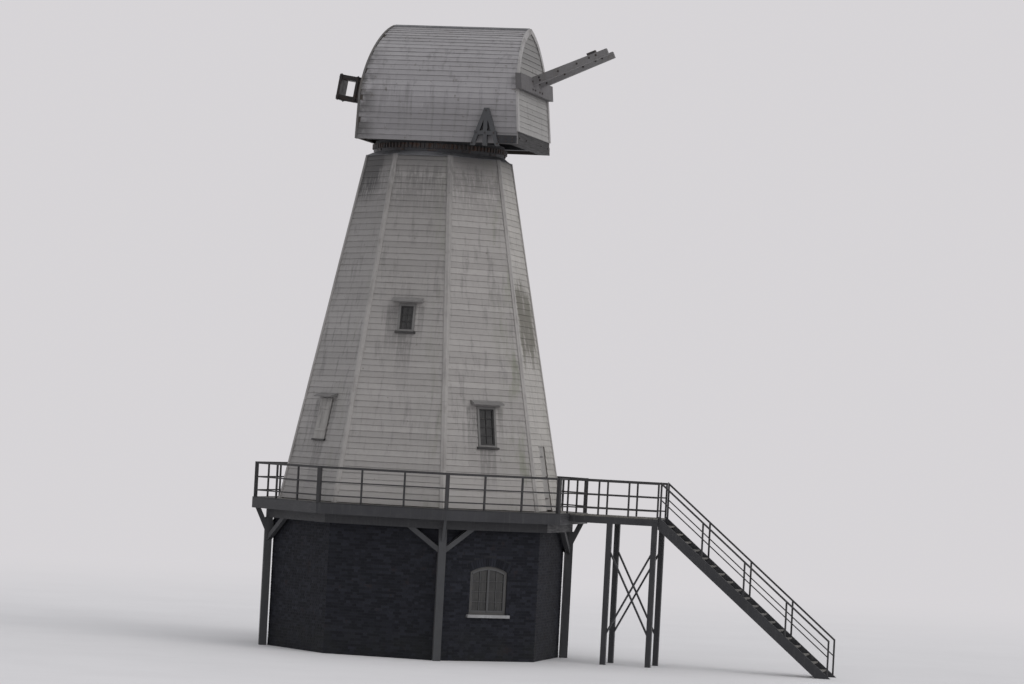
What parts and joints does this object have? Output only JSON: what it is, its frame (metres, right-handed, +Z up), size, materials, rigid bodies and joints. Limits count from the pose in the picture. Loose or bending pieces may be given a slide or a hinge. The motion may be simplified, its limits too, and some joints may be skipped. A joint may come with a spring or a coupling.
{
  "type": "smock windmill without sails",
  "caption": "Octagonal smock windmill on a tarred brick base, with a railed stage, an outside stair, a turning boat-shaped cap and a turning windshaft.",
  "frame": {"origin": "centre of the octagonal base at ground level", "axes": "+Z up; -Y is the front, where the windshaft's poll end is; +Y is the tail, with the fan spars and the stair"},
  "size_m": [8.556, 15.824, 17.105],
  "materials": {
    "tarred_brick": "brickwork under black tar",
    "floor_brick": "worn brick paving",
    "pale_stone": "painted stone",
    "white_boards": "weathered white paint on boards",
    "cap_boards": "weathered grey-white paint on boards",
    "joinery_paint": "dark grey paint, weathered",
    "door_paint": "dark paint on ledged boards",
    "glass": "clear, dusty",
    "black_timber": "tarred, weathered",
    "grey_rail_paint": "dull grey paint",
    "weathered_deck": "bare, silvered by weather",
    "bare_timber": "sawn, unpainted",
    "grey_timber": "worn grey paint",
    "iron": "painted black, rust at the edges"
  },
  "bodies": {
    "tower": {"base_walls_facing": "tarred_brick", "base_walls_diagonal": "tarred_brick", "ground_floor": "floor_brick", "base_window_sills": "pale_stone", "smock_walls_facing": "white_boards", "smock_walls_diagonal": "white_boards", "window_frames": "joinery_paint", "window_hoods": "joinery_paint", "base_door": "door_paint", "stage_door": "door_paint", "window_panes": "glass", "smock_sill": "black_timber", "curb": "black_timber", "stage_joists": "black_timber", "stage_rim": "black_timber", "stage_bearer": "black_timber", "stage_posts": "black_timber", "stage_braces": "black_timber", "landing_frame": "black_timber", "landing_posts": "black_timber", "landing_braces": "black_timber", "stair_strings": "black_timber", "stage_corner_posts": "grey_rail_paint", "stage_railing": "grey_rail_paint", "landing_railing": "grey_rail_paint", "stair_railing": "grey_rail_paint", "stage_deck": "weathered_deck", "landing_deck": "weathered_deck", "stair_treads": "weathered_deck", "cant_posts": "bare_timber", "floor_beams": "bare_timber", "lower_floor": "bare_timber", "upper_floor": "bare_timber", "curb_rack": "iron"},
    "cap": {"cap_side_right": "cap_boards", "cap_side_left": "cap_boards", "cap_front_gable": "cap_boards", "cap_tail_gable": "cap_boards", "cap_ridge": "cap_boards", "cap_ring": "black_timber", "cap_sheers": "black_timber", "tail_beam": "black_timber", "weather_beam": "bare_timber", "tail_bearing_beam": "bare_timber", "spar_anchor_beam": "bare_timber", "neck_bearing": "iron", "tail_bearing": "iron", "fan_spars": "grey_timber", "fan_bearings": "iron", "fan_cross_timber": "black_timber", "winding_bracket": "black_timber"},
    "windshaft": {"windshaft": "bare_timber", "poll_end": "iron"}
  },
  "joints": [
    {"name": "cap_turn", "type": "hinge", "parent": "tower", "child": "cap", "pos_m": [0, 0, 13.7504], "axis": [0, 0, 1], "continuous": true},
    {"name": "windshaft_turn", "type": "hinge", "parent": "cap", "child": "windshaft", "pos_m": [0, -2.385, 15.26], "axis": [0, -0.9903, 0.1392], "continuous": true}
  ]
}
